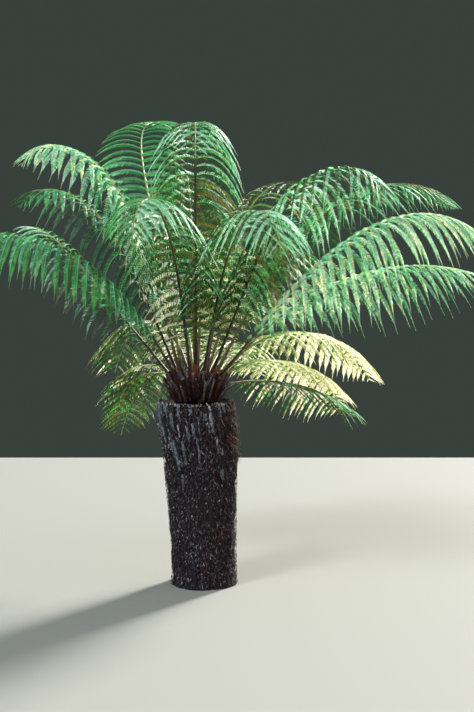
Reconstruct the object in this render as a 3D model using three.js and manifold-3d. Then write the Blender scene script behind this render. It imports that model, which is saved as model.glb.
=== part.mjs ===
// Soft tree fern: a short thick trunk that carries a crown of arching, feathered fronds.
// Millimetres, +Z up. The origin is the middle of the flat cut at ground level.
// +X is to the right and +Y is away when the plant is seen from its front.
import * as THREE from "three";
import { mergeVertices } from "three/addons/utils/BufferGeometryUtils.js";
import Module from "manifold-3d";

const wasm = await Module();
wasm.setup();

// Trunk: width across, and how far its middle leans along X, at heights above the ground
const TRUNK_HEIGHT = 860;
const TRUNK_SECTIONS = [
  { height: 0, width: 314, lean: 0 },
  { height: 55, width: 302, lean: 0 },
  { height: 165, width: 300, lean: -1 },
  { height: 400, width: 324, lean: -11 },
  { height: 635, width: 346, lean: -20 },
  { height: 740, width: 358, lean: -33 },
  { height: 830, width: 356, lean: -41 },
  { height: TRUNK_HEIGHT, width: 344, lean: -42 },
];
const TRUNK_SIDES = 28;
// Old stalk bases run down the upper trunk as blunt upright ridges
const RIDGE_COUNT = 14;
const RIDGE_DEPTH = 5;
const RIDGE_START = 300;

// Crown core: the growing heart that the stalks rise from
const CROWN_CENTRE = new THREE.Vector3(-38, 0, 930);
const SEAT_GAP = 0.4;
const CORE_PROFILE = [
  { radius: 108, height: TRUNK_HEIGHT + SEAT_GAP },
  { radius: 113, height: 895 },
  { radius: 118, height: 932 },
  { radius: 104, height: 964 },
  { radius: 62, height: 984 },
];
const CORE_WIDEST = 932;
const CORE_TOP = 990;
const CORE_SIDES = 16;

// Cut stalk stubs round the core, in rings that lean outwards
const STUB_RINGS = [
  { count: 22, foot: 96, footHeight: 874, lean: 27, length: 108, radius: 10.5 },
  { count: 15, foot: 92, footHeight: 925, lean: 20, length: 82, radius: 9 },
];
const STUB_SIDES = 5;
const STUB_TAPER = 0.82;
const STUB_CLEARANCE = 1.5;
const STUB_SCALES = [1, 0.8, 0.6];
const STUB_SPREAD = { bearing: 0.35, lean: 0.25, length: 0.14 };

// Fronds: the bearing and the slope at the start (turn, rise), the slope at the tip (fall), how late
// the bend comes, rachis length, longest leaflet, change of bearing, and how far the leaflets hang
const FRONDS = [
  { turn: 190, rise: 61, fall: -42, bend: 2.1, length: 1450, leaflet: 380, swing: 0, droop: 2.8 },
  { turn: 170, rise: 74, fall: -62, bend: 4.5, length: 1570, leaflet: 400, swing: 0, droop: 2.4 },
  { turn: -104, rise: 68, fall: -98, bend: 3.4, length: 1420, leaflet: 340, swing: 0, droop: 3.0 },
  { turn: 157, rise: 78, fall: -20, bend: 3.0, length: 1800, leaflet: 265, swing: -105, droop: 1.8 },
  { turn: -88, rise: 87, fall: -80, bend: 3.2, length: 1680, leaflet: 315, swing: 0, droop: 3.2 },
  { turn: -66, rise: 66, fall: -95, bend: 3.4, length: 1370, leaflet: 360, swing: 0, droop: 2.8 },
  { turn: -35, rise: 65, fall: -95, bend: 4.5, length: 1550, leaflet: 420, swing: 0, droop: 2.6 },
  { turn: -16, rise: 50, fall: -55, bend: 3.5, length: 1595, leaflet: 480, swing: 0, droop: 2.0 },
  { turn: 11, rise: 50, fall: -18, bend: 1.4, length: 1510, leaflet: 450, swing: 0, droop: 2.0 },
  { turn: 29, rise: 59, fall: -39, bend: 2.4, length: 1930, leaflet: 400, swing: 0, droop: 1.8 },
  { turn: 38, rise: 49, fall: -56, bend: 1.1, length: 1235, leaflet: 340, swing: 0, droop: 2.4 },
  { turn: 47, rise: 37, fall: -43, bend: 0.8, length: 1110, leaflet: 320, swing: 0, droop: 2.2 },
  { turn: 53, rise: 8, fall: -28, bend: 0.9, length: 1340, leaflet: 320, swing: 0, droop: 2.2 },
  { turn: 114, rise: 25, fall: -53, bend: 0.8, length: 1170, leaflet: 260, swing: 0, droop: 2.0 },
  { turn: 159, rise: 65, fall: -55, bend: 4.2, length: 1430, leaflet: 360, swing: 0, droop: 2.2 },
  { turn: 148, rise: 44, fall: -17, bend: 9.0, length: 1300, leaflet: 320, swing: 0, droop: 2.6 },
  { turn: 126, rise: 49, fall: -64, bend: 0.8, length: 800, leaflet: 250, swing: 0, droop: 2.0 },
  { turn: 116, rise: 70, fall: -56, bend: 0.8, length: 1270, leaflet: 350, swing: 0, droop: 2.1 },
];
// The far side, in whorls from the lowest to the steepest
const FAR_WHORLS = [
  { turns: [76, 96], rise: 34, fall: -49, bend: 1.5, length: 1290, leaflet: 340 },
  { turns: [61, 87], rise: 61, fall: -48, bend: 2.1, length: 1510, leaflet: 370 },
  { turns: [48, 96], rise: 81, fall: -61, bend: 2.8, length: 1610, leaflet: 360 },
];
const FAR_DROOP = 2.1;
const FAR_SPREAD = { rise: 4, length: 60 };
const SWING_POWER = 1.5;

// Where a stalk starts: steep ones near the middle, low ones further out and a little lower
const RING_INNER = 45;
const RING_PER_DEGREE = 0.75;
const LOW_RISE = 50;
const LOW_START = -15;

// Rachis: radius at the foot and the tip, and the steps along it that carry a cross-section
const RACHIS_FOOT = 9;
const RACHIS_TIP = 3.6;
const RACHIS_TAPER = 0.7;
const RACHIS_SIDES = 4;
const CENTRE_STEPS = 60;
const SPLIT_STEP = 36;
const LOWER_RINGS = [0, 9, 18, 27, SPLIT_STEP];
const UPPER_RINGS = [SPLIT_STEP, 40, 44, 48, 52, 56, CENTRE_STEPS];
const SPLIT_GAP = 0.3;

// Leaflets, in pairs along the rachis above the bare stalk
const BARE_STALK = 0.12;
const PAIR_SPACING = 98;
const SPLIT_KEEP_OUT = 0.012;
// Their angle to the rachis closes up towards the tip, and they lift a little before they hang
const ANGLE_LOW = 84;
const ANGLE_DROP = 34;
const ANGLE_POWER = 1.5;
const LIFT = 0.22;
// Between these bearings, to the right, they lean this much further towards the tip
const LEANING_TURNS = { least: -20, most: 35 };
const LEAN = 22;
const HANG_LENGTH = 350;
const LEAFLET_SPREAD = { angle: 2, length: 0.05 };
// Their length along the frond, as a share of the longest: u to one power times 1 - u to the other
const SHARE_RISE = 0.9;
const SHARE_FALL = 0.8;
const SHARE_TOP = 0.3087;
// A leaflet's sections: its centreline's steps, where the blade bends, and its size
const LEAFLET_STEPS = 8;
const LEAFLET_BENDS = [0, 0.42, 1];
const LEAFLET_WIDTH = 0.68;
const LEAFLET_SLIMNESS = 0.3;
const ROOT_SIZE = 0.4;
const THICKNESS_SHARE = 0.0115;
const THICKNESS_LEAST = 0.8;
const LEAFLET_CLEARANCE = 1.2;
const LEAFLET_SCALES = [1, 0.8, 0.6, 0.42];

const TRUNK_LOOK = { color: 0x3d2f2c, roughness: 0.95 };
const CROWN_LOOK = { color: 0x57291d, roughness: 0.9 };
const FROND_LOOK = { color: 0x5d8a5f, roughness: 0.55 };
const SUNLIT_LOOK = { color: 0x9db063, roughness: 0.55 };
const SUNLIT_TURNS = { least: 30, most: 110 };

const MERGE_DISTANCE = 1e-4;
const UP = new THREE.Vector3(0, 0, 1);
const radians = THREE.MathUtils.degToRad;

// The same small shift for the same pair of numbers, from -1 to 1
function jitter(a, b) {
  const wave = Math.sin(a * 12.9898 + b * 78.233) * 43758.5453;
  return 2 * (wave - Math.floor(wave)) - 1;
}

// A closed geometry with its shared corners merged becomes a solid
function solid(geometry) {
  const bare = geometry.clone();
  bare.deleteAttribute("normal");
  bare.deleteAttribute("uv");
  const merged = mergeVertices(bare, MERGE_DISTANCE);
  const corners = merged.index.array;
  const faces = [];
  for (let i = 0; i < corners.length; i += 3) {
    const [a, b, c] = [corners[i], corners[i + 1], corners[i + 2]];
    if (a !== b && b !== c && c !== a) faces.push(a, b, c);
  }
  const vertProperties = new Float32Array(merged.attributes.position.array);
  return new wasm.Manifold(new wasm.Mesh({ numProp: 3, vertProperties, triVerts: new Uint32Array(faces) }));
}

function geometryOf(body) {
  const { vertProperties, triVerts } = body.getMesh();
  const geometry = new THREE.BufferGeometry();
  geometry.setAttribute("position", new THREE.Float32BufferAttribute(vertProperties, 3));
  geometry.setIndex(new THREE.Uint32BufferAttribute(triVerts, 1));
  geometry.computeVertexNormals();
  return geometry;
}

function mesh(name, body, look) {
  const piece = new THREE.Mesh(geometryOf(body), new THREE.MeshStandardMaterial({ ...look, metalness: 0 }));
  piece.name = name;
  return piece;
}

// The largest single body, so that no loose scrap stays
function largest(body) {
  return body.decompose().reduce((best, part) => (part.volume() > best.volume() ? part : best));
}

function moveVertices(geometry, place) {
  const position = geometry.attributes.position;
  const point = new THREE.Vector3();
  for (let i = 0; i < position.count; i += 1) {
    point.fromBufferAttribute(position, i);
    place(point);
    position.setXYZ(i, point.x, point.y, point.z);
  }
  return geometry;
}

function boxesMeet(a, b) {
  return a.min.every((low, axis) => low <= b.max[axis]) && b.min.every((low, axis) => low <= a.max[axis]);
}

function obstacle(owner, body) {
  return { owner, body, box: body.boundingBox() };
}

// Whether a body cuts into any obstacle that isn't its owner's own
function touches(body, obstacles, owner) {
  const box = body.boundingBox();
  return obstacles.some((other) => {
    if (other.owner === owner || !boxesMeet(box, other.box)) return false;
    return !body.intersect(other.body).isEmpty();
  });
}

function trunk() {
  const outline = TRUNK_SECTIONS.map((section) => new THREE.Vector2(section.width / 2, section.height));
  outline.unshift(new THREE.Vector2(0, 0));
  outline.push(new THREE.Vector2(0, TRUNK_HEIGHT));
  const geometry = new THREE.LatheGeometry(outline, TRUNK_SIDES).rotateX(Math.PI / 2);
  const leanAt = new Map(TRUNK_SECTIONS.map((section) => [section.height, section.lean]));
  moveVertices(geometry, (point) => {
    const height = Math.round(point.z);
    const reach = Math.hypot(point.x, point.y);
    const ridge = Math.cos(RIDGE_COUNT * Math.atan2(point.y, point.x));
    const strength = THREE.MathUtils.clamp((height - RIDGE_START) / RIDGE_START, 0, 1);
    const grown = reach > 1 ? 1 + (RIDGE_DEPTH * strength * ridge) / reach : 1;
    point.set(point.x * grown + leanAt.get(height), point.y * grown, height);
  });
  return solid(geometry);
}

// The core, grown outwards and upwards where the stalks are cut back from it
function core(growth) {
  const outline = CORE_PROFILE.map(({ radius, height }) => {
    const lift = height > CORE_WIDEST ? growth : 0;
    return new THREE.Vector2(radius + growth, height + lift);
  });
  outline.unshift(new THREE.Vector2(0, CORE_PROFILE[0].height));
  outline.push(new THREE.Vector2(0, CORE_TOP + growth));
  const geometry = new THREE.LatheGeometry(outline, CORE_SIDES).rotateX(Math.PI / 2);
  return solid(geometry.translate(CROWN_CENTRE.x, CROWN_CENTRE.y, 0));
}

function stub(ring, index, scale) {
  const shift = STUB_SPREAD.bearing * jitter(index, ring.count);
  const bearing = ((index + shift) / ring.count) * 2 * Math.PI;
  const lean = radians(ring.lean * (1 + STUB_SPREAD.lean * jitter(index, ring.foot)));
  const length = ring.length * scale * (1 + STUB_SPREAD.length * jitter(index, ring.length));
  const outwards = new THREE.Vector3(Math.cos(bearing), Math.sin(bearing), 0);
  const along = outwards.clone().multiplyScalar(Math.sin(lean)).addScaledVector(UP, Math.cos(lean));
  const shape = new THREE.CylinderGeometry(ring.radius * STUB_TAPER, ring.radius, length, STUB_SIDES);
  shape.translate(0, length / 2, 0);
  shape.applyQuaternion(new THREE.Quaternion().setFromUnitVectors(new THREE.Vector3(0, 1, 0), along));
  const foot = outwards.multiplyScalar(ring.foot).add(CROWN_CENTRE).setZ(ring.footHeight);
  return solid(shape.translate(foot.x, foot.y, foot.z));
}

// The crown is the core with every stub that keeps clear of the stalks, shortened where it must be
function crown(stalks) {
  let body = core(0);
  for (const ring of STUB_RINGS) {
    for (let index = 0; index < ring.count; index += 1) {
      const lengths = STUB_SCALES.map((scale) => stub(ring, index, scale));
      const clear = lengths.find((piece) => !touches(piece, stalks));
      if (clear) body = body.add(clear);
    }
  }
  return largest(body);
}

function allFronds() {
  const far = FAR_WHORLS.flatMap(({ turns, ...whorl }, level) =>
    turns.map((turn, index) => ({
      ...whorl,
      turn,
      rise: whorl.rise + FAR_SPREAD.rise * jitter(index, level),
      length: whorl.length + FAR_SPREAD.length * jitter(index, level + turns.length),
      swing: 0,
      droop: FAR_DROOP,
    })),
  );
  return [...FRONDS, ...far];
}

// The rachis direction and its cross directions at a share s of its length
function frame(frond, s) {
  const slope = radians(frond.rise + (frond.fall - frond.rise) * s ** frond.bend);
  const bearing = radians(frond.turn + frond.swing * s ** SWING_POWER);
  const level = new THREE.Vector3(Math.cos(bearing), Math.sin(bearing), 0);
  const along = level.multiplyScalar(Math.cos(slope)).addScaledVector(UP, Math.sin(slope));
  const side = new THREE.Vector3(-Math.sin(bearing), Math.cos(bearing), 0);
  return { along, side, above: along.clone().cross(side) };
}

function centreline(frond) {
  const bearing = radians(frond.turn);
  const ring = RING_INNER + RING_PER_DEGREE * (90 - frond.rise);
  const outwards = new THREE.Vector3(Math.cos(bearing), Math.sin(bearing), 0);
  const start = outwards.multiplyScalar(ring).add(CROWN_CENTRE);
  if (frond.rise < LOW_RISE) start.z += LOW_START;
  const points = [start];
  for (let i = 0; i < CENTRE_STEPS; i += 1) {
    const { along } = frame(frond, (i + 0.5) / CENTRE_STEPS);
    points.push(points[i].clone().addScaledVector(along, frond.length / CENTRE_STEPS));
  }
  return points;
}

// A tapering tube through the centreline's points at the given steps
function rachis(frond, points, steps, growth) {
  const rows = steps.length - 1;
  const flatSides = Math.PI / RACHIS_SIDES;
  const shape = new THREE.CylinderGeometry(1, 1, rows, RACHIS_SIDES, rows, false, flatSides);
  moveVertices(shape, (point) => {
    const row = Math.round(point.y + rows / 2);
    const s = steps[row] / CENTRE_STEPS;
    const { along, side, above } = frame(frond, s);
    const size = RACHIS_FOOT + (RACHIS_TIP - RACHIS_FOOT) * s ** RACHIS_TAPER + growth;
    const [across, down] = [point.x * size, point.z * size];
    point.copy(points[steps[row]]).addScaledVector(side, across).addScaledVector(above, -down);
    if (steps[row] === SPLIT_STEP && row === 0) point.addScaledVector(along, SPLIT_GAP);
  });
  return solid(shape);
}

// The point of the tube's axis at a share s, which lies on the straight run between two sections
function onAxis(points, s) {
  const rings = [...LOWER_RINGS, ...UPPER_RINGS.slice(1)];
  const step = s * CENTRE_STEPS;
  const next = rings.findIndex((ring) => ring >= step);
  const [a, b] = [rings[next - 1], rings[next]];
  return points[a].clone().lerp(points[b], (step - a) / (b - a));
}

function leans({ turn }) {
  return turn > LEANING_TURNS.least && turn < LEANING_TURNS.most;
}

// Where one pair's leaflet starts, its direction there and its full length
function leafletPlan({ frond, number, points, pairs }, pair, hand) {
  const u = (pair + 0.5) / pairs;
  const s = BARE_STALK + (1 - BARE_STALK) * u;
  const { along, side, above } = frame(frond, s);
  const seed = number + hand / 2;
  const shift = LEAFLET_SPREAD.angle * jitter(pair, seed) - (leans(frond) ? LEAN : 0);
  const angle = radians(ANGLE_LOW - ANGLE_DROP * u ** ANGLE_POWER + shift);
  const share = (u ** SHARE_RISE * (1 - u) ** SHARE_FALL) / SHARE_TOP;
  const length = frond.leaflet * share * (1 + LEAFLET_SPREAD.length * jitter(seed, pair));
  const heading = along.clone().multiplyScalar(Math.cos(angle));
  heading.addScaledVector(side, Math.sin(angle) * hand).addScaledVector(above, LIFT).normalize();
  return { s, along, above, angle, heading, length, root: onAxis(points, s), droop: frond.droop };
}

// A leaflet's own centreline, which leaves the rachis sideways and hangs under its weight
function leafletLine(plan, length) {
  const line = [plan.root];
  for (let j = 0; j < LEAFLET_STEPS; j += 1) {
    const hang = (plan.droop * ((j + 0.5) / LEAFLET_STEPS) * length) / HANG_LENGTH;
    const tangent = plan.heading.clone().addScaledVector(UP, -hang).normalize();
    line.push(line[j].clone().addScaledVector(tangent, length / LEAFLET_STEPS));
  }
  return line;
}

function alongLine(line, t) {
  const step = t * LEAFLET_STEPS;
  const first = Math.min(Math.floor(step), LEAFLET_STEPS - 1);
  return line[first].clone().lerp(line[first + 1], step - first);
}

// A thin blade with a keel below, from a root sunk in the rachis, through the widest place, to the tip.
// Its sections all run along the rachis, so the root's end stays inside it.
function leaflet(plan, scale, growth) {
  const length = plan.length * scale;
  const line = leafletLine(plan, length);
  const widest = Math.min(LEAFLET_WIDTH * PAIR_SPACING * Math.sin(plan.angle), LEAFLET_SLIMNESS * length);
  const thickness = THICKNESS_SHARE * length + THICKNESS_LEAST;
  const chord = line[LEAFLET_STEPS].clone().sub(line[0]).normalize();
  const normal = plan.along.clone().cross(chord).normalize();
  const keelBelow = normal.dot(plan.above) > 0 ? Math.PI : 0;
  const rows = LEAFLET_BENDS.length - 1;
  const shape = new THREE.CylinderGeometry(0, 1, rows, 3, rows, false, keelBelow);
  moveVertices(shape, (point) => {
    const row = Math.round(point.y + rows / 2);
    const onBlade = Math.hypot(point.x, point.z) > MERGE_DISTANCE;
    const turn = Math.atan2(point.x, point.z);
    const size = row === 0 ? ROOT_SIZE : 1;
    point.copy(alongLine(line, LEAFLET_BENDS[row]));
    if (row === rows) {
      point.addScaledVector(chord, growth);
    } else if (onBlade) {
      const across = ((size * widest) / 2 + growth) / Math.sin(Math.PI / 3);
      const deep = (size * thickness) / 1.5 + growth;
      point.addScaledVector(plan.along, across * Math.sin(turn));
      point.addScaledVector(normal, deep * Math.cos(turn));
    }
  });
  return solid(shape);
}

// A frond's two solids start as its stalk, cut back from the core and parted at the bend
function limb(frond, index) {
  const points = centreline(frond);
  const name = `frond_${String(index + 1).padStart(2, "0")}`;
  const stalk = rachis(frond, points, LOWER_RINGS, 0).subtract(core(SEAT_GAP));
  return {
    frond,
    number: index + 1,
    points,
    pairs: Math.round(((1 - BARE_STALK) * frond.length) / PAIR_SPACING),
    lower: { name: `${name}_lower`, body: largest(stalk) },
    upper: { name: `${name}_upper`, body: rachis(frond, points, UPPER_RINGS, 0) },
  };
}

// Each leaflet is shortened until it keeps clear of every other limb, or left out
function addLeaflets(item, obstacles) {
  const split = SPLIT_STEP / CENTRE_STEPS;
  for (let pair = 0; pair < item.pairs; pair += 1) {
    for (const hand of [1, -1]) {
      const plan = leafletPlan(item, pair, hand);
      const half = plan.s < split ? item.lower : item.upper;
      const isClear = (scale) => !touches(leaflet(plan, scale, LEAFLET_CLEARANCE), obstacles, half.name);
      const clear = LEAFLET_SCALES.find(isClear);
      if (!clear || Math.abs(plan.s - split) < SPLIT_KEEP_OUT) continue;
      const body = leaflet(plan, clear, 0);
      half.body = half.body.add(body);
      obstacles.push(obstacle(half.name, body));
    }
  }
}

// The low fronds that reach out to the right and away stand in the sun
function isSunlit({ rise, turn }) {
  return rise < LOW_RISE && turn > SUNLIT_TURNS.least && turn < SUNLIT_TURNS.most;
}

function build() {
  const limbs = allFronds().map(limb);
  const stalks = limbs.map(({ frond, points, lower }) =>
    obstacle(lower.name, rachis(frond, points, LOWER_RINGS, STUB_CLEARANCE)),
  );
  const trunkBody = trunk();
  const crownBody = crown(stalks);
  const obstacles = [obstacle("trunk", trunkBody), obstacle("crown", crownBody)];
  for (const { lower, upper } of limbs) {
    obstacles.push(obstacle(lower.name, lower.body), obstacle(upper.name, upper.body));
  }
  for (const item of limbs) addLeaflets(item, obstacles);

  const group = new THREE.Group();
  group.add(mesh("trunk", trunkBody, TRUNK_LOOK), mesh("crown", crownBody, CROWN_LOOK));
  for (const { frond, lower, upper } of limbs) {
    const look = isSunlit(frond) ? SUNLIT_LOOK : FROND_LOOK;
    group.add(mesh(lower.name, largest(lower.body), look), mesh(upper.name, largest(upper.body), look));
  }
  return group;
}

const fern = build();
export default fern;
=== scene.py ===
# Soft tree fern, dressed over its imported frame: bark, fibres, cut stalk bases, stalks and leaflets.
# Metres, +Z up. The origin is the middle of the flat cut at ground level.
# +X is to the right and +Y is away when the plant is seen from its front.
import math
from collections import namedtuple
from functools import cache

import bpy
import numpy as np
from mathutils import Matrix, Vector
from numpy.random import default_rng


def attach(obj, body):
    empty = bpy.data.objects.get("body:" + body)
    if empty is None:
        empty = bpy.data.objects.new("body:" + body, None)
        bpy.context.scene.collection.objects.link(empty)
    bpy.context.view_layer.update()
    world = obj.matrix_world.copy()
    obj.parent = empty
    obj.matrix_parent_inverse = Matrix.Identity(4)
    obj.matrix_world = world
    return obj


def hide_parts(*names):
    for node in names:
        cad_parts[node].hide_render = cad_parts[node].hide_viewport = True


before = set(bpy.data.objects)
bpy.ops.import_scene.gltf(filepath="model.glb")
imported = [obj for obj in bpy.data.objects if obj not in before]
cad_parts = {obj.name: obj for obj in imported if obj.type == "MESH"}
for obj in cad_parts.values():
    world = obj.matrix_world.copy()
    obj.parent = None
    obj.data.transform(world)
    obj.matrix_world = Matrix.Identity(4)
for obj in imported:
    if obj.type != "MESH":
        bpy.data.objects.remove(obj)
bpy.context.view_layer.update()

UP = np.array([0, 0, 1])
FULL_TURN = 2 * math.pi
# The slot of a piece on the trunk or the crown, and the node that it replaces
ON_TRUNK = ("bark", ["trunk"])
ON_CROWN = ("stalk", ["crown"])

# Trunk: height above the ground, width across, and how far its middle leans along X
TRUNK_HEIGHT = 0.860
TRUNK_SECTIONS = np.array([
    (0.000, 0.314, 0.000),
    (0.055, 0.302, 0.000),
    (0.165, 0.300, -0.001),
    (0.400, 0.324, -0.011),
    (0.635, 0.346, -0.020),
    (0.740, 0.358, -0.033),
    (0.830, 0.356, -0.041),
    (TRUNK_HEIGHT, 0.344, -0.042),
])
TRUNK_GIRTH = 1.05
TRUNK_TOP_INNER = 0.070

# Bark mesh, and its relief from coarse to fine: patch width, patch height and depth
BARK_COLUMNS = 300
BARK_ROWS = 225
BARK_TOP_ROWS = 12
BARK_RELIEF = (
    (0.080, 0.120, 0.0060),
    (0.024, 0.070, 0.0055),
    (0.010, 0.030, 0.0045),
    (0.006, 0.010, 0.0026),
)
BARK_INSET = 0.004
# Inside the rim, how far the top sinks and how rough it is
TOP_SINK = 0.010
TOP_ROUGHNESS = 0.004

# Old stalk bases that run up the trunk to the rim: the height of each row's tops, how far they stray,
# how many there are, and the share that has rotted away
BaseRow = namedtuple("BaseRow", "top stray count lost")
BASE_ROWS = [BaseRow(*row) for row in (
    (0.866, 0.008, 37, 0.00),
    (0.826, 0.022, 33, 0.10),
    (0.778, 0.026, 33, 0.28),
    (0.722, 0.030, 31, 0.45),
    (0.655, 0.034, 31, 0.64),
    (0.575, 0.040, 29, 0.82),
)]
BASE_LENGTH = (0.045, 0.140)
BASE_HALF_WIDTH = (0.0040, 0.0094)
BASE_HALF_DEPTH = (0.0038, 0.0072)
BASE_RINGS = 7
BASE_SIDES = 8
BASE_ROUGHNESS = 0.0019
BASE_RAGGED = 0.005
BASE_END_SUNK = 0.002
PALE_BASES = 0.13
PALE_ABOVE = 0.70

# Loose fibres and small chips that stand out of the bark. A taper gives the width along a strand.
FIBRE_COUNT = 13000
FIBRE_LENGTH = (0.006, 0.024)
FIBRE_WIDTH = (0.0011, 0.0028)
FIBRE_TAPER = (1.0, 1.0, 0.8, 0.3)
FIBRE_STANDS_OUT = 0.007
CURL_COUNT = 520
CURL_LENGTH = (0.020, 0.060)
CURL_WIDTH = 0.0019
CURL_TAPER = np.array((1.0, 1.0, 0.95, 0.9, 0.8, 0.6, 0.3))
CHIP_COUNT = 3600
CHIP_SIZE = (0.0018, 0.0070)
CHIP_PROUD = 0.003
CHIP_SLIMNESS = 0.55
CHIP_RISE = 0.5
SLATE_CHIPS = 0.25
PALE_CHIPS = 0.09
RIM_CHIPS = 240
RIM_CHIP_SIZE = (0.003, 0.009)
RIM_CHIP_PROUD = 0.002
PALE_RIM_CHIPS = 0.45

# Crown core, as height and reach, and the cut stalk stubs round it, in rings that lean outwards
CROWN_CENTRE = np.array([-0.038, 0.0, 0.930])
CORE_PROFILE = np.array([
    (0.8612, 0.100),
    (0.895, 0.113),
    (0.932, 0.118),
    (0.964, 0.104),
    (0.984, 0.062),
    (0.990, 0.0),
])
CORE_COLUMNS = 72
CORE_ROWS = 26
StubRing = namedtuple("StubRing", "count foot foot_height lean length radius")
STUB_RINGS = [StubRing(*row) for row in (
    (22, 0.096, 0.874, 27, 0.108, 0.0070),
    (15, 0.092, 0.925, 20, 0.082, 0.0064),
    (31, 0.110, 0.872, 33, 0.088, 0.0049),
    (25, 0.104, 0.898, 25, 0.096, 0.0046),
    (25, 0.080, 0.945, 16, 0.070, 0.0052),
)]
STUB_SWELL = 1.10
STUB_TAPER = 0.82
STUB_WIDE = 1.1
STUB_DEEP = 0.8
STUB_SPREAD = {"bearing": 0.35, "lean": 0.25, "length": 0.14}
STUB_RINGS_UP = 7
STUB_SIDES = 10
STUB_SLANT = 0.0050
STUB_RAGGED = 0.0015
STUB_ROUGHNESS = 0.0010
STUB_END_SUNK = 0.0022
UMBER_STUBS = 0.42
RUSSET_STUBS = 0.20

# Dry splinters and hairs of the crown, and the hairs at each stalk's foot
SPLINTER_COUNT = 84
SPLINTER_LENGTH = (0.045, 0.115)
SPLINTER_TAPER = (1, 1.05, 1, 0.85, 0.6, 0.15)
SPLINTER_DEEP = 0.45
SPLINTER_SIDES = 6
CROWN_HAIRS = 3400
CROWN_HAIR_TAPER = (1, 1, 0.9, 0.7, 0.3)
FOOT_HAIRS = 120
FOOT_HAIR_TAPER = (1, 0.9, 0.7, 0.25)

# Fronds: the bearing and the slope at the start (turn, rise), the slope at the tip (fall), how late the
# bend comes, rachis length, longest leaflet, how far the leaflets hang, the look of the stalk, the looks
# of the leaflets on its left and right as one looks from its foot to its tip, and any change of bearing
Frond = namedtuple("Frond", "turn rise fall bend length leaflet droop stalk left right swing", defaults=[0])
FRONDS = [Frond(*row) for row in (
    (190, 61, -42, 2.1, 1.450, 0.380, 2.8, "olive", "teal", "fresh"),
    (170, 74, -62, 4.5, 1.570, 0.400, 2.4, "amber", "sage", "tipped"),
    (-104, 68, -98, 3.4, 1.420, 0.340, 3.0, "dark", "painted_sheen", "front"),
    (157, 78, -20, 3.0, 1.800, 0.265, 1.8, "green", "fresh", "fresh", -105),
    (-88, 87, -80, 3.2, 1.680, 0.315, 3.2, "dark", "painted_sheen", "under"),
    (-66, 66, -95, 3.4, 1.370, 0.360, 2.8, "dark", "painted_sheen", "under"),
    (-35, 65, -95, 4.5, 1.550, 0.420, 2.6, "dark", "arch", "under"),
    (-16, 50, -55, 3.5, 1.595, 0.480, 2.0, "olive", "sage", "right"),
    (11, 50, -18, 1.4, 1.510, 0.450, 2.0, "olive", "sage", "tipped"),
    (29, 59, -39, 2.4, 1.930, 0.400, 1.8, "olive", "fresh", "under"),
    (38, 49, -56, 1.1, 1.235, 0.340, 2.4, "green", "sunlit", "sunlit"),
    (47, 37, -43, 0.8, 1.110, 0.320, 2.2, "green", "sunlit", "sunlit"),
    (53, 8, -28, 0.9, 1.340, 0.320, 2.2, "olive", "low", "under"),
    (114, 25, -53, 0.8, 1.170, 0.260, 2.0, "olive", "dim", "dim"),
    (159, 65, -55, 4.2, 1.430, 0.360, 2.2, "dark", "deep", "teal"),
    (148, 44, -17, 9.0, 1.300, 0.320, 2.6, "dark", "under", "deep"),
    (126, 49, -64, 0.8, 0.800, 0.250, 2.0, "dark", "shaded", "shaded"),
    (116, 70, -56, 0.8, 1.270, 0.350, 2.1, "dark", "shaded", "shaded"),
)]
# The far side, in whorls from the lowest to the steepest
Whorl = namedtuple("Whorl", "turns rise fall bend length leaflet stalk leaves")
FAR_WHORLS = [Whorl(*row) for row in (
    ((76, 96), 34, -49, 1.5, 1.290, 0.340, "green", "behind"),
    ((61, 87), 61, -48, 2.1, 1.510, 0.370, "olive", "dappled"),
    ((48, 96), 81, -61, 2.8, 1.610, 0.360, "olive", "golden"),
)]
FAR_DROOP = 2.1
FAR_SPREAD = {"rise": 4, "length": 0.060}
SWING_POWER = 1.5

# Where a stalk starts: steep ones near the middle, low ones further out and a little lower
RING_INNER = 0.045
RING_PER_DEGREE = 0.00075
LOW_RISE = 50
LOW_START = -0.015

# Rachis: radius at the foot and the tip, and the steps along its centreline
RACHIS_RADIUS = (0.0090, 0.0020)
RACHIS_TAPER = 0.7
RACHIS_DEEP = 0.92
RACHIS_SIDES = 8
CENTRE_STEPS = 60

# Leaflets, in pairs along the rachis above the bare stalk, closer together towards its tip
BARE_STALK = 0.12
PAIR_SPACING = 0.046
PAIR_CROWDING = 0.86
ANGLE_LOW = 84
ANGLE_DROP = 34
ANGLE_POWER = 1.5
LIFT = 0.22
# Between these bearings, to the right, they lean this much further towards the tip
LEANING_TURNS = (-20, 35)
LEAN = 22
HANG_LENGTH = 0.350
LEAFLET_SPREAD = {"angle": 3.0, "length": 0.06, "droop": 0.12, "twist": 6.0}
LEAFLET_TWIST = 11.0
# Their length along the frond: u to one power times 1 - u to the other, over its highest value
SHARE_RISE = 0.9
SHARE_FALL = 0.8
SHARE_TOP = 0.3087
LEAFLET_STEPS = 8
Leaflets = namedtuple("Leaflets", "root along above heading length droop half twist look shade frond")
# Ribs, thinner on leaflets that are shorter than the full length
RIB_RADIUS = (0.0019, 0.0007)
RIB_FULL_LENGTH = 0.25
RIB_THINNEST = 0.4

# Half the width of a leaflet along its length: share of the length, share of the widest
LEAFLET_PROFILE = np.array([
    (0.00, 0.66),
    (0.08, 1.00),
    (0.50, 1.00),
    (0.70, 0.86),
    (0.80, 0.50),
    (0.88, 0.22),
    (1.00, 0.07),
])
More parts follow.
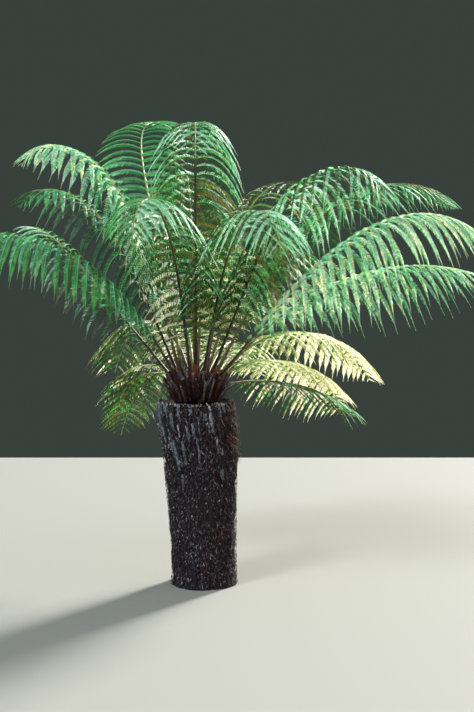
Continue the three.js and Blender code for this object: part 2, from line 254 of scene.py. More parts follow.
# Pinnules, in pairs along each leaflet's rib. Each is tilted like a slat, its side towards the leaflet's
# tip the higher one, more so in the half that faces the frond's tip, and folded down along its middle.
PINNULE_OVERLAP = 1.14
PINNULE_SLIMNESS = 0.104
PINNULE_PER_HALF = 0.42
PINNULE_SPACING = (0.0056, 0.0112)
PINNULE_SHIFT = 0.22
PINNULE_WIDTH = 0.31
PINNULE_ANGLE = (68.0, 36.0)
PINNULE_LIFT = 0.20
PINNULE_DROOP = 0.42
PINNULE_TILT = (20.0, 38.0)
PINNULE_FOLD = 0.95
PINNULE_SPREAD = {"length": 0.08, "roll": 8.0, "angle": 4.0}
SMALL_PINNULE = 0.0150
# A pinnule's outline, from its root: share of its length, share of its half width
TOOTHED_ROWS = ((0.0, 0.50), (0.22, 1.00), (0.38, 0.68), (0.60, 0.88))
PLAIN_ROWS = ((0.0, 0.55), (0.35, 1.00))
PIECE_TRIANGLES = 180000
Pinnules = namedtuple("Pinnules", "root heading width normal length half leaflet tone")

# Leaf tones: the colour of a face, and of the light that comes through. Deep is partly painted shade,
# pale a painted sheen, and bright and cream painted sunlight.
LEAF_TONES = {
    "deep": ("#0b4226", "#2a5e1e"),
    "teal": ("#0d8056", "#38a458"),
    "green": ("#1fa04e", "#64c254"),
    "sage": ("#64d09e", "#90dc9c"),
    "pale": ("#bef4da", "#c4f0ca"),
    "olive": ("#4a5522", "#7f842a"),
    "gold": ("#9cae54", "#c8d664"),
    "bright": ("#dde4ac", "#eef0a8"),
    "cream": ("#fbfae8", "#fffbe0"),
}
# Each look's tones from its darkest to its lightest, how much lighter it grows from the foot of its
# frond to the tip as painted light, and how far single pinnules stray. Over the leaves' own greens the
# dark rungs are partly painted shade and the light rungs painted sheen and sun. Cream as the first tone
# stands for flecks of sun.
LeafLook = namedtuple("LeafLook", "tones growth stray")
LEAF_LOOKS = {
    "deep": LeafLook("deep deep deep deep teal teal green", 0.1, 0.16),
    "teal": LeafLook("deep deep teal teal teal green sage", 0.1, 0.28),
    "fresh": LeafLook("teal green green green green sage sage", 0.2, 0.26),
    "sage": LeafLook("green sage pale sage pale bright pale", 0.2, 0.28),
    "right": LeafLook("sage sage pale bright pale cream pale", 0.2, 0.28),
    "tipped": LeafLook("teal green sage pale sage bright pale", 0.2, 0.30),
    "painted_sheen": LeafLook("olive deep deep deep teal green sage pale pale", 0.8, 0.18),
    "front": LeafLook("cream deep deep deep olive deep deep green deep teal green", 1.1, 0.16),
    "arch": LeafLook("olive deep deep olive deep teal sage pale", 0.9, 0.18),
    "behind": LeafLook("deep deep green gold cream cream cream", -0.2, 0.18),
    "golden": LeafLook("deep olive deep deep green gold cream", -0.7, 0.18),
    "under": LeafLook("deep deep deep deep olive deep deep green sage pale", 0.9, 0.20),
    "low": LeafLook("deep deep olive deep green gold cream", 0.5, 0.26),
    "sunlit": LeafLook("green gold bright bright cream cream cream cream", 0.9, 0.26),
    "dappled": LeafLook("deep teal green green gold bright cream", -1.0, 0.36),
    "shaded": LeafLook("deep deep olive green gold cream", -0.7, 0.38),
    "dim": LeafLook("deep deep deep olive deep green olive", -0.4, 0.26),
}
LOOK_WAVES = 2.3
LOOK_WAVE_SHARE = 0.16
LOOK_STRAY_SHARE = 0.24
# Painted light: how much lighter a leaflet's tip is than its foot, and its half towards the frond's tip
# than the other
PAINTED_TIP_LIGHT = 0.26
PAINTED_HALF_LIGHT = 0.42
SUNLIT_TONES = ("bright", "cream")
LEAF_GLOW = 0.36
SUNLIT_GLOW = 0.78
LEAF_ROUGHNESS = 0.45
LEAF_SHINE = 0.36
# Ribs of leaflets: the leaf tones they go with, their colour and their slot
RIBS = {
    "ribs_dark": (("deep", "olive", "gold"), "#7b6a38", "leaf"),
    "ribs_pale": (("teal", "green", "sage", "pale"), "#a9cf96", "leaf"),
    "ribs_sunlit": (SUNLIT_TONES, "#e0dba0", "leaf_sunlit"),
}

# Stalk tones, and where each tone of a look ends, from the foot to the tip. The dark look's long dark
# stretch is partly painted shade.
STALK_TONES = {
    "foot_red": "#8c3a20",
    "dark": "#2a1a14",
    "brown": "#5a4724",
    "olive": "#76733a",
    "amber": "#a88a4a",
    "green": "#7d9a55",
}
STALK_LOOKS = {
    "dark": ((0.062, "foot_red"), (0.42, "dark"), (0.62, "brown"), (0.78, "olive"), (1.01, "green")),
    "olive": ((0.058, "foot_red"), (0.26, "brown"), (0.60, "olive"), (1.01, "green")),
    "amber": ((0.058, "foot_red"), (0.30, "brown"), (0.50, "olive"), (1.01, "amber")),
    "green": ((0.055, "foot_red"), (0.22, "olive"), (1.01, "green")),
}
STALK_ROUGHNESS = 0.48
STALK_GRAIN = 700.0
STALK_BUMP = {"Strength": 0.35, "Distance": 0.001}

# Kinds of grain: how fine, how rough, how strong its bump, and its width as a share of its height
GRAINS = {
    "bark": (190, 0.9, 0.5, 0.22),
    "base": (150, 0.85, 0.9, 0.5),
    "core": (160, 0.9, 0.6, 0.22),
    "stub": (260, 0.8, 0.8, 0.22),
    "splinter": (260, 0.8, 0.5, 0.22),
    "strand": (160, 0.75, 0.3, 0.5),
    "end": (330, 0.85, 0.5, 0.22),
}
GRAIN_NOISE = {"Scale": 1.0, "Detail": 8.0, "Roughness": 0.65}
GRAIN_STOPS = (0.38, 0.66)
GRAIN_DEPTH = 0.002
WOOD_SHINE = 0.25
# Bark and wood: the two colours of its grain, whose kind is the first word
WOODS = {
    "bark": ("#0c090b", "#2e2327"),
    "base_slate": ("#0b0d11", "#8a949f"),
    "base_brown": ("#0a0708", "#40302f"),
    "base_pale": ("#2a292d", "#cfced2"),
    "end_base": ("#2c2322", "#93868a"),
    "core": ("#0c0708", "#2e1917"),
    "stub_umber": ("#0b0708", "#40302f"),
    "stub_mauve": ("#141013", "#8f8087"),
    "stub_russet": ("#120705", "#74301f"),
    "end_stub": ("#2e211f", "#94807a"),
    "splinter_grey": ("#3a3338", "#9b9195"),
    "splinter_russet": ("#2a130d", "#74402c"),
    "strand_dark": ("#070507", "#151115"),
    "strand_brown": ("#150d0f", "#2f1f20"),
    "strand_red": ("#2c110d", "#642c1f"),
    "strand_rust": ("#5a2415", "#a04c2e"),
    "strand_plum": ("#33212e", "#70535f"),
    "strand_slate": ("#2b3139", "#5b6674"),
    "strand_pale": ("#6d6767", "#bdb7b5"),
}
STRAND_TONES = ("dark", "brown", "red", "rust", "plum", "slate", "pale")
# How common a tone is round the trunk: the mean, how much that varies, from where, and the least.
# Red and plum to the right are partly painted reddish rim light, and slate to the left partly painted cool
# light.
TONE_SHARES = {
    "dark": (0.42, 0, 0, 0),
    "brown": (0.24, 0, 0, 0),
    "red": (0.04, 0.14, 0.25, 0.02),
    "plum": (0.14, 0.34, 0.45, 0.04),
    "slate": (0.15, 0.10, 2.6, 0.05),
}
RUST_PER_RED = 0.08
PALE_SHARE = 0.05
PALE_RISE = 0.04

# Even lights from far off: where each comes from, the angle it fills, its power and its tint
LIGHTS = {
    "sky": ((-0.5, -1.5, 6.0), 80, 1.4, (0.82, 0.93, 1.0)),
    "key": ((-3.4, -3.6, 5.0), 14, 2.8, (0.93, 0.98, 1.0)),
    "sun": ((4.0, 5.5, 3.0), 9, 12.0, (1.0, 0.97, 0.88)),
    "bounce": ((5.0, -1.2, 0.7), 60, 0.9, (1.0, 0.93, 0.90)),
}
SKY_COLOUR = (0.040, 0.052, 0.046, 1.0)
FLOOR_COLOUR = "#7e7e7a"
FLOOR_ROUGHNESS = 0.9
FLOOR_REACH = 4.0

# The photograph's view: where the camera stands, its pitch and its focal length
CAMERA_PLACE = (0.155, -5.400, 1.400)
CAMERA_PITCH = 3.43
PHOTO_HEIGHT = 712
FOCAL_PIXELS = 1152
SENSOR_HEIGHT = 36.0


def colour(code):
    """A shader's colour from the #rrggbb code of what is seen."""
    shares = [int(code[i:i + 2], 16) / 255 for i in (1, 3, 5)]
    linear = [share / 12.92 if share <= 0.04045 else ((share + 0.055) / 1.055) ** 2.4 for share in shares]
    return (*linear, 1.0)


def jitter(a, b):
    """The same small shift for the same pair of numbers, from -1 to 1."""
    wave = np.sin(a * 12.9898 + b * 78.233) * 43758.5453
    return 2 * (wave - np.floor(wave)) - 1


def unit(vectors):
    return vectors / np.linalg.norm(vectors, axis=-1, keepdims=True)


def dot(a, b):
    return np.sum(a * b, axis=-1, keepdims=True)


def between(limits, shares):
    return limits[0] + (limits[1] - limits[0]) * shares


def read_off(table, column, place):
    """A column of a table at a place among its rows, whose own places its first column gives."""
    return np.interp(place, table[:, 0], table[:, column])


def even_turns(count, shift=0):
    """Bearings spread evenly over a full turn."""
    return (np.arange(count) + shift) * FULL_TURN / count


def level(turn):
    """The unit vector that points outwards at a bearing."""
    return np.stack((np.cos(turn), np.sin(turn), 0 * turn), axis=-1)


def leaning(outwards, degrees):
    """Directions that lean outwards from straight up."""
    lean = np.radians(degrees)[:, None]
    return outwards * np.sin(lean) + UP * np.cos(lean)


def straight_lines(start, heading, length, share):
    """The points at shares of the way along many straight lines."""
    return start[:, None] + heading[:, None] * (length[:, None] * share)[..., None]


def turned(wide, out, angle):
    """Two directions across a line, both turned about it by an angle."""
    return wide * np.cos(angle) + out * np.sin(angle), out * np.cos(angle) - wide * np.sin(angle)


def picked(tones, count, rng):
    """One of the tones for each of count bodies."""
    return np.array(tones)[rng.integers(0, len(tones), count)]


def add_object(name, data):
    thing = bpy.data.objects.new(name, data)
    bpy.context.scene.collection.objects.link(thing)
    return thing


def make_piece(name, points, faces, material, slot, replaced, smooth=True):
    """One joined mesh on the plant's only body. faces is a list of corner arrays."""
    mesh = bpy.data.meshes.new(name)
    corners = [face for part in faces for face in part.tolist()]
    mesh.from_pydata(points.reshape(-1, 3).tolist(), [], corners)
    if smooth:
        mesh.shade_smooth()
    mesh.materials.append(material)
    piece = add_object(name, mesh)
    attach(piece, "root")
    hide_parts(*replaced)


def add_used(name, points, faces, material, slot, replaced, smooth=True):
    """A piece of only the points that its faces use."""
    used, numbers = np.unique(faces, return_inverse=True)
    corners = [numbers.reshape(faces.shape)]
    make_piece(name, points.reshape(-1, 3)[used], corners, material, slot, replaced, smooth)


def add_bodies(prefix, points, faces, tones, kind, slot, replaced, smooth=True):
    """Many bodies, in one piece for each of their tones. kind and the tone name its wood."""
    per_body = faces.reshape(len(tones), -1, faces.shape[1])
    for tone in np.unique(tones):
        chosen = per_body[tones == tone].reshape(-1, faces.shape[1])
        add_used(f"{prefix}_{tone}", points, chosen, wood(f"{kind}_{tone}"), slot, replaced, smooth)


def add_ends(name, points, sunk, material, slot, replaced):
    """The tubes' cut ends, each with its middle sunk."""
    rings = points[:, -1]
    ends, faces = end_caps(rings, rings.mean(axis=1) - sunk * UP)
    make_piece(name, ends, [faces], wood(material), slot, replaced, smooth=False)


def grid_faces(rows, columns, closed):
    """Quads of a grid of points. A closed grid joins its last column to its first."""
    low = np.arange(rows - 1)[:, None] * columns
    high = low + columns
    column = np.arange(columns if closed else columns - 1)[None, :]
    beside = (column + 1) % columns
    quads = (low + column, low + beside, high + beside, high + column)
    return np.stack(np.broadcast_arrays(*quads), axis=-1).reshape(-1, 4)


def capped_grid(rows, columns):
    """Quads of a closed grid, with one face over its foot and one over its top."""
    ring = np.arange(columns)[None]
    return grid_faces(rows, columns, True), ring[:, ::-1], (rows - 1) * columns + ring


def repeat_faces(faces, count, step):
    """The same faces for each of count bodies, whose points follow each other by step."""
    return (faces[None] + np.arange(count)[:, None, None] * step).reshape(-1, faces.shape[1])


def line_frames(lines, towards):
    """Unit vectors across many lines and out of them, with out near towards."""
    along = unit(np.gradient(lines, axis=1))
    across = unit(np.cross(along, towards))
    return across, np.cross(across, along)


def tubes(lines, towards, wide, deep, sides):
    """Tubes round many lines of the same number of points, with half widths across and outwards."""
    across, outwards = line_frames(lines, towards)
    turn = even_turns(sides, 0.5)[:, None]
    ring = across[:, :, None] * np.cos(turn) * wide[..., None, None]
    ring = ring + outwards[:, :, None] * np.sin(turn) * deep[..., None, None]
    count, rows = lines.shape[:2]
    return lines[:, :, None] + ring, repeat_faces(grid_faces(rows, sides, True), count, rows * sides)


def strips(lines, towards, widths):
    """Flat strips along many lines, each facing towards."""
    half = line_frames(lines, towards)[0] * widths[..., None] / 2
    count, rows = lines.shape[:2]
    points = np.stack((lines - half, lines + half), axis=2)
    return points, repeat_faces(grid_faces(rows, 2, False), count, rows * 2)


def end_caps(rings, middles):
    """Cut ends: each body's last ring joined to a point in its middle."""
    count, sides = rings.shape[:2]
    points = np.concatenate((rings, middles[:, None]), axis=1)
    corner = np.arange(sides)
    fan = np.stack((corner, (corner + 1) % sides, np.full(sides, sides)), axis=-1)
    return points, repeat_faces(fan, count, sides + 1)


def patch_noise(turn, height, width, tall, rng):
    """Smooth noise from -1 to 1 over the trunk's side, in patches of a width and a height."""
    columns = max(3, round(TRUNK_GIRTH / width))
    rows = math.ceil(1.1 * TRUNK_HEIGHT / tall) + 2
    lattice = rng.uniform(-1, 1, (rows + 1, columns))
    x = (turn / FULL_TURN) % 1 * columns
    y = np.clip(height / tall, 0, rows - 1.001)
    column, row = x.astype(int) % columns, y.astype(int)
    dx, dy = x - np.floor(x), y - row
    dx, dy = dx * dx * (3 - 2 * dx), dy * dy * (3 - 2 * dy)
    beside = (column + 1) % columns
    low = lattice[row, column] * (1 - dx) + lattice[row, beside] * dx
    high = lattice[row + 1, column] * (1 - dx) + lattice[row + 1, beside] * dx
    return low * (1 - dy) + high * dy


def round_point(middle, reach, turn, height):
    """A point at a reach and a bearing from a middle along X."""
    return np.stack((middle + reach * np.cos(turn), reach * np.sin(turn), height + 0 * turn), axis=-1)


def trunk_point(turn, height, proud):
    """A point of the trunk's side, moved outwards by proud."""
    reach = read_off(TRUNK_SECTIONS, 1, height) / 2 + proud
    return round_point(read_off(TRUNK_SECTIONS, 2, height), reach, turn, height)


def set_values(node, values):
    for socket, value in values.items():
        node.inputs[socket].default_value = value


def new_material(name, values):
    """A material with values on its shader's own sockets, its node tree and its shader."""
    material = bpy.data.materials.new(name)
    material.use_nodes = True
    shader = material.node_tree.nodes["Principled BSDF"]
    set_values(shader, values)
    return material, material.node_tree, shader


def new_node(tree, kind, values):
    node = tree.nodes.new(f"ShaderNode{kind}")
    set_values(node, values)
    return node


def join(tree, *links):
    """Links in a node tree, each given as node, output, node, input."""
    for start, output, end, socket in links:
        tree.links.new(start.outputs[output], end.inputs[socket])


def add_grain(tree, shader, stretch, noise, bump):
    """Noise that follows the plant, with a bump from it on the shader's surface."""
    place = new_node(tree, "TexCoord", {})
    scale = new_node(tree, "Mapping", {"Scale": stretch})
    grain = new_node(tree, "TexNoise", noise)
    relief = new_node(tree, "Bump", bump)
    join(tree, (place, "Object", scale, "Vector"), (scale, "Vector", grain, "Vector"),
         (grain, "Fac", relief, "Height"), (relief, "Normal", shader, "Normal"))
    return grain


def leaf_material(name, face, through, glow):
    """A satin leaf. glow is the share of its light that comes through it."""
    satin = {"Base Color": colour(face), "Roughness": LEAF_ROUGHNESS, "Specular IOR Level": LEAF_SHINE}
    material, tree, shader = new_material(name, satin)
    lit = new_node(tree, "BsdfTranslucent", {"Color": colour(through)})
    blend = new_node(tree, "MixShader", {"Fac": glow})
    join(tree, (shader, "BSDF", blend, 1), (lit, "BSDF", blend, 2),
         (blend, "Shader", tree.nodes["Material Output"], "Surface"))
    return material


def stalk_material(tone, code):
    smooth = {"Base Color": colour(code), "Roughness": STALK_ROUGHNESS}
    material, tree, shader = new_material(f"stalk_{tone}", smooth)
    add_grain(tree, shader, (1, 1, 1), {"Scale": STALK_GRAIN}, STALK_BUMP)
    return material


@cache
def wood(name):
    """Bark or wood: two colours mixed by grain that runs up the plant, with a bump from it."""
    scale, roughness, bump, upright = GRAINS[name.split("_")[0]]
    material, tree, shader = new_material(name, {"Roughness": roughness, "Specular IOR Level": WOOD_SHINE})
    relief = {"Strength": bump, "Distance": GRAIN_DEPTH}
    grain = add_grain(tree, shader, (scale, scale, scale * upright), GRAIN_NOISE, relief)
    ramp = new_node(tree, "ValToRGB", {})
    for stop, position, tone in zip(ramp.color_ramp.elements, GRAIN_STOPS, WOODS[name]):
        stop.position = position
        stop.color = colour(tone)
    join(tree, (grain, "Fac", ramp, "Fac"), (ramp, "Color", shader, "Base Color"))
    return material


def trunk_bark():
    rng = default_rng(11)
    turn = even_turns(BARK_COLUMNS)
    side_turn, side_height = np.meshgrid(turn, np.linspace(0, TRUNK_HEIGHT, BARK_ROWS))
    relief = sum(depth * patch_noise(side_turn, side_height, width, tall, rng)
                 for width, tall, depth in BARK_RELIEF)
    side = trunk_point(side_turn, side_height, relief - BARK_INSET)
    rim_reach = read_off(TRUNK_SECTIONS, 1, TRUNK_HEIGHT) / 2 + relief[-1] - BARK_INSET
    shares = np.linspace(0, 1, BARK_TOP_ROWS + 1)[1:, None]
    reach = rim_reach * (1 - shares) + TRUNK_TOP_INNER * shares
    rough = patch_noise(np.broadcast_to(turn, reach.shape), shares * TRUNK_HEIGHT, 0.02, 0.1, rng)
    sink = TOP_SINK * np.minimum(1, shares * 3) + TOP_ROUGHNESS * rough
    top = round_point(TRUNK_SECTIONS[-1, 2], reach, turn, TRUNK_HEIGHT - sink)
    faces = capped_grid(BARK_ROWS + BARK_TOP_ROWS, BARK_COLUMNS)
    make_piece("trunk_bark", np.concatenate((side, top)), faces, wood("bark"), *ON_TRUNK)


def base_lines(rng):
    """Centrelines of the old stalk bases: they leave the bark at the foot and stand out at the top."""
    tops, turns = [], []
    for row in BASE_ROWS:
        place = np.arange(row.count) + 0.5 * rng.random() + 0.30 * rng.uniform(-1, 1, row.count)
        kept = rng.random(row.count) >= row.lost
        turns.append(place[kept] * FULL_TURN / row.count)
        tops.append(row.top + row.stray * rng.uniform(-1, 0.25, kept.sum()))
    turn, top = np.concatenate(turns), np.concatenate(tops)
    length = between(BASE_LENGTH, rng.random(turn.size) ** 1.3)
    share = np.linspace(0, 1, BASE_RINGS)
    height = (top - length)[:, None] + length[:, None] * share
    proud = -0.0065 + 0.0085 * share ** 1.3 + 0.0022 * rng.uniform(-1, 1, (turn.size, 1))
    sway = (0.04 + 0.07 * rng.uniform(-1, 1, (turn.size, 1))) * (share - 1) ** 2
    return trunk_point(turn[:, None] + sway, height, proud), turn, top


def base_tones(turn, top, rng):
    """Slate bases to the left, partly painted cool light, brown ones to the right, pale ones here and there
    near the rim.
    """
    slate = np.cos(turn + 2.5) + 0.9 * rng.uniform(-1, 1, turn.size) > 0.35
    pale = rng.random(turn.size) < PALE_BASES * (top > PALE_ABOVE)
    return np.where(pale, "pale", np.where(slate, "slate", "brown"))


def stalk_bases():
    rng = default_rng(12)
    lines, turn, top = base_lines(rng)
    size = rng.random((turn.size, 1))
    swell = 0.45 + 0.55 * np.sin(np.linspace(0, 1, BASE_RINGS) * 2.2 + 0.35)
    wide, deep = between(BASE_HALF_WIDTH, size) * swell, between(BASE_HALF_DEPTH, size) * swell
    points, faces = tubes(lines, level(turn)[:, None], wide, deep, BASE_SIDES)
    points = points + BASE_ROUGHNESS * rng.uniform(-1, 1, points.shape)
    points[:, -1, :, 2] += BASE_RAGGED * rng.uniform(-1, 0.4, points.shape[:1] + points.shape[2:3])
    add_bodies("stalk_bases", points, faces, base_tones(turn, top, rng), "base", *ON_TRUNK)
    add_ends("stalk_base_ends", points, BASE_END_SUNK, "end_base", *ON_TRUNK)


def share_out(turn, height, rng):
    """Strand and chip tones: red right and slate left, partly painted rim and cool light; pale here and
    there.
    """
    shares = {tone: np.clip(mean + swing * np.cos(turn + bearing), least, 1)
              for tone, (mean, swing, bearing, least) in TONE_SHARES.items()}
    shares["rust"] = RUST_PER_RED * shares["red"]
    shares["pale"] = PALE_SHARE + PALE_RISE * (height / TRUNK_HEIGHT)
    weights = np.stack([shares[tone] for tone in STRAND_TONES], axis=-1)
    limits = np.cumsum(weights, axis=-1) / weights.sum(axis=-1, keepdims=True)
    return np.array(STRAND_TONES)[(rng.random(turn.size)[:, None] > limits).sum(axis=-1)]


def trunk_fibres():
    rng = default_rng(13)
    turn = rng.uniform(0, FULL_TURN, FIBRE_COUNT)
    height = TRUNK_HEIGHT * rng.random(FIBRE_COUNT) ** 0.92
    length = between(FIBRE_LENGTH, rng.random(FIBRE_COUNT) ** 1.6)
    share = np.linspace(0, 1, len(FIBRE_TAPER))
    lean = np.radians(rng.normal(4, 30, FIBRE_COUNT))
    drop = (length * np.cos(lean))[:, None] * share
    sideways = (length * np.sin(lean) * FULL_TURN / TRUNK_GIRTH)[:, None] * share ** 1.4
    out = rng.uniform(0.15, 1, FIBRE_COUNT)[:, None] * FIBRE_STANDS_OUT
    low = np.clip(height[:, None] - drop, 0.003, TRUNK_HEIGHT)
    lines = trunk_point(turn[:, None] + sideways, low, out * np.sin(math.pi * share * 0.8) - 0.001)
    roll = rng.uniform(-1, 1, (FIBRE_COUNT, 1, 1)) * (0.4 * UP)
    widths = between(FIBRE_WIDTH, rng.random(FIBRE_COUNT))[:, None] * FIBRE_TAPER
    strands = strips(lines, level(turn)[:, None] + roll, widths)
    add_bodies("trunk_fibres", *strands, share_out(turn, height, rng), "strand", *ON_TRUNK)


def trunk_curls():
    """Longer red fibres that curl out of the upper right side."""
    rng = default_rng(14)
    turn = rng.normal(-0.12, 0.34, CURL_COUNT)
    height = rng.uniform(0.60, 0.875, CURL_COUNT)
    length = between(CURL_LENGTH, rng.random(CURL_COUNT))
    share = np.linspace(0, 1, len(CURL_TAPER))
    swirl = rng.uniform(-1, 1, (CURL_COUNT, 1)) * np.sin(share * 4.2)
    out = rng.uniform(0.008, 0.026, (CURL_COUNT, 1)) * np.sin(share * 2.7)
    low = np.minimum(height[:, None] - length[:, None] * share * 0.8, TRUNK_HEIGHT + 0.012)
    lines = trunk_point(turn[:, None] + 0.05 * swirl, low, out)
    strands = strips(lines, level(turn)[:, None], CURL_WIDTH * CURL_TAPER)
    tones = picked(("rust", "brown", "red", "dark", "red", "pale"), CURL_COUNT, rng)
    add_bodies("trunk_curls", *strands, tones, "strand", *ON_TRUNK)


def chips(name, turn, height, size, proud, paler, rng):
    """Small four-sided chips on the bark, each with a raised middle. A share of paler turn pale."""
    centre = trunk_point(turn, height, proud)
    outwards = level(turn)
    reach = size[:, None]
    tilt = rng.uniform(-0.9, 0.9, turn.size)[:, None]
    tall = unit(UP + tilt * np.cross(UP, outwards))
    beside = np.cross(outwards, tall) * reach * CHIP_SLIMNESS
    above = tall * reach
    ring = np.stack((centre + beside, centre + above, centre - beside, centre - above), axis=1)
    bodies = end_caps(ring, centre + outwards * reach * CHIP_RISE)
    tones = share_out(turn, height, rng)
    tones[rng.random(turn.size) < SLATE_CHIPS] = "slate"
    tones[rng.random(turn.size) < paler] = "pale"
    add_bodies(name, *bodies, tones, "strand", *ON_TRUNK, smooth=False)


def trunk_chips():
    rng = default_rng(15)
    turn = rng.uniform(0, FULL_TURN, CHIP_COUNT)
    height = rng.uniform(0.015, TRUNK_HEIGHT - 0.01, CHIP_COUNT)
    size = between(CHIP_SIZE, rng.random(CHIP_COUNT) ** 2)
    chips("trunk_chips", turn, height, size, CHIP_PROUD, PALE_CHIPS, rng)
    turn = rng.uniform(0, FULL_TURN, RIM_CHIPS)
    height = TRUNK_HEIGHT + rng.uniform(-0.004, 0.006, RIM_CHIPS)
    size = rng.uniform(*RIM_CHIP_SIZE, RIM_CHIPS)
    chips("rim_chips", turn, height, size, RIM_CHIP_PROUD, PALE_RIM_CHIPS, rng)


def crown_core():
    rng = default_rng(16)
    place = np.linspace(0, 1, CORE_ROWS) * (len(CORE_PROFILE) - 1)
    knots = np.arange(len(CORE_PROFILE))
    height, reach = (np.interp(place, knots, column)[:, None] for column in CORE_PROFILE.T)
    turn = even_turns(CORE_COLUMNS)[None]
    reach = reach * (1 + 0.05 * rng.uniform(-1, 1, (CORE_ROWS, CORE_COLUMNS)))
    points = round_point(CROWN_CENTRE[0], reach, turn, height)
    faces = capped_grid(CORE_ROWS - 1, CORE_COLUMNS)
    make_piece("crown_core", points[:-1], faces, wood("core"), *ON_CROWN)


def stub_lines(ring):
    """Centrelines of one ring's stubs, by the rule of the frame's own stubs."""
    index = np.arange(ring.count)
    bearing = (index + STUB_SPREAD["bearing"] * jitter(index, ring.count)) / ring.count * FULL_TURN
    lean = ring.lean * (1 + STUB_SPREAD["lean"] * jitter(index, ring.foot * 1000))
    length = ring.length * (1 + STUB_SPREAD["length"] * jitter(index, ring.length * 1000))
    outwards = level(bearing)
    foot = CROWN_CENTRE + ring.foot * outwards
    foot[:, 2] = ring.foot_height
    share = np.linspace(0, 1, STUB_RINGS_UP)
    bow = 0.10 * length[:, None] * (share ** 2 - share)
    lines = straight_lines(foot, leaning(outwards, lean), length, share)
    return lines + outwards[:, None] * bow[..., None], outwards


def stub_tubes(rng):
    """The points of all the stubs, each with a slanted cut."""
    share = np.linspace(0, 1, STUB_RINGS_UP)
    taper = STUB_SWELL - (STUB_SWELL - STUB_TAPER) * share
    bodies = []
    for ring in STUB_RINGS:
        lines, outwards = stub_lines(ring)
        size = ring.radius * rng.uniform(0.80, 1.25, (ring.count, 1)) * taper
        points = tubes(lines, outwards[:, None], size * STUB_WIDE, size * STUB_DEEP, STUB_SIDES)[0]
        cut_turn = rng.uniform(0, FULL_TURN, (ring.count, 1))
        slant = STUB_SLANT * np.cos(even_turns(STUB_SIDES, 0.5) + cut_turn)
        points[:, -1, :, 2] += slant + STUB_RAGGED * rng.uniform(-1, 1, slant.shape)
        bodies.append(points)
    points = np.concatenate(bodies)
    return points + STUB_ROUGHNESS * rng.uniform(-1, 1, points.shape)


def crown_stubs():
    rng = default_rng(17)
    points = stub_tubes(rng)
    count = len(points)
    faces = repeat_faces(grid_faces(STUB_RINGS_UP, STUB_SIDES, True), count, STUB_RINGS_UP * STUB_SIDES)
    pick = rng.random(count)
    tones = np.where(pick < UMBER_STUBS, "umber", np.where(pick < 1 - RUSSET_STUBS, "mauve", "russet"))
    add_bodies("crown_stubs", points, faces, tones, "stub", *ON_CROWN)
    add_ends("crown_stub_ends", points, STUB_END_SUNK, "end_stub", *ON_CROWN)


def crown_splinters():
    """Thin dry strips that splay out round the crown, pointed at the top."""
    rng = default_rng(20)
    turn = rng.uniform(0, FULL_TURN, SPLINTER_COUNT)
    outwards = level(turn)
    foot = CROWN_CENTRE + outwards * rng.uniform(0.098, 0.118, (SPLINTER_COUNT, 1))
    foot[:, 2] = rng.uniform(0.862, 0.935, SPLINTER_COUNT)
    lean = rng.uniform(16, 52, SPLINTER_COUNT)
    aside = np.cross(UP, outwards) * rng.normal(0, 0.16, (SPLINTER_COUNT, 1))
    heading = unit(leaning(outwards, lean) + aside)
    length = between(SPLINTER_LENGTH, rng.random(SPLINTER_COUNT))
    share = np.linspace(0, 1, len(SPLINTER_TAPER))
    curl = rng.uniform(-0.06, 0.16, (SPLINTER_COUNT, 1)) * length[:, None] * share ** 2
    lines = straight_lines(foot, heading, length, share) + outwards[:, None] * curl[..., None]
    size = rng.uniform(0.0022, 0.0052, (SPLINTER_COUNT, 1)) * SPLINTER_TAPER
    bodies = tubes(lines, outwards[:, None], size, size * SPLINTER_DEEP, SPLINTER_SIDES)
    grey = np.cos(turn + 2.8) + 0.9 * rng.uniform(-1, 1, SPLINTER_COUNT) > 0
    tones = np.where(grey, "grey", "russet")
    add_bodies("crown_splinters", *bodies, tones, "splinter", *ON_CROWN)


def crown_hairs():
    """Red-brown hairs that fill the crown between the stubs and stalk feet."""
    rng = default_rng(18)
    turn = rng.uniform(0, FULL_TURN, CROWN_HAIRS)
    outwards = level(turn)
    height = between((0.864, 0.985), rng.random(CROWN_HAIRS) ** 1.3)
    reach = read_off(CORE_PROFILE, 1, height) * rng.uniform(0.93, 1.12, CROWN_HAIRS)
    start = CROWN_CENTRE + outwards * reach[:, None]
    start[:, 2] = height
    lean = rng.normal(30, 22, CROWN_HAIRS)
    aside = np.cross(UP, outwards) * rng.normal(0, 0.35, CROWN_HAIRS)[:, None]
    heading = unit(leaning(outwards, lean) + aside)
    length = rng.uniform(0.016, 0.050, CROWN_HAIRS)
    share = np.linspace(0, 1, len(CROWN_HAIR_TAPER))
    lines = straight_lines(start, heading, length, share)
    lines[..., 2] -= (length * rng.uniform(0, 0.5, CROWN_HAIRS))[:, None] * share ** 2.2
    widths = rng.uniform(0.0009, 0.0017, (CROWN_HAIRS, 1)) * CROWN_HAIR_TAPER
    towards = outwards[:, None] + rng.uniform(-0.6, 0.6, (CROWN_HAIRS, 1, 3))
    tones = picked(("red", "brown", "plum", "dark", "dark"), CROWN_HAIRS, rng)
    add_bodies("crown_hairs", *strips(lines, towards, widths), tones, "strand", *ON_CROWN)


def all_fronds():
    far = []
    for place, whorl in enumerate(FAR_WHORLS):
        for index, turn in enumerate(whorl.turns):
            rise = whorl.rise + FAR_SPREAD["rise"] * jitter(index, place)
            length = whorl.length + FAR_SPREAD["length"] * jitter(index, place + len(whorl.turns))
            far.append(Frond(turn, rise, whorl.fall, whorl.bend, length, whorl.leaflet, FAR_DROOP,
                             whorl.stalk, whorl.leaves, whorl.leaves))
    return FRONDS + far


def frond_frame(frond, s):
    """The rachis direction and its cross directions at shares s of its length."""
    slope = np.radians(frond.rise + (frond.fall - frond.rise) * s ** frond.bend)[..., None]
    bearing = np.radians(frond.turn + frond.swing * s ** SWING_POWER)
    along = level(bearing) * np.cos(slope) + UP * np.sin(slope)
    side = level(bearing + math.pi / 2)
    return along, side, np.cross(along, side)


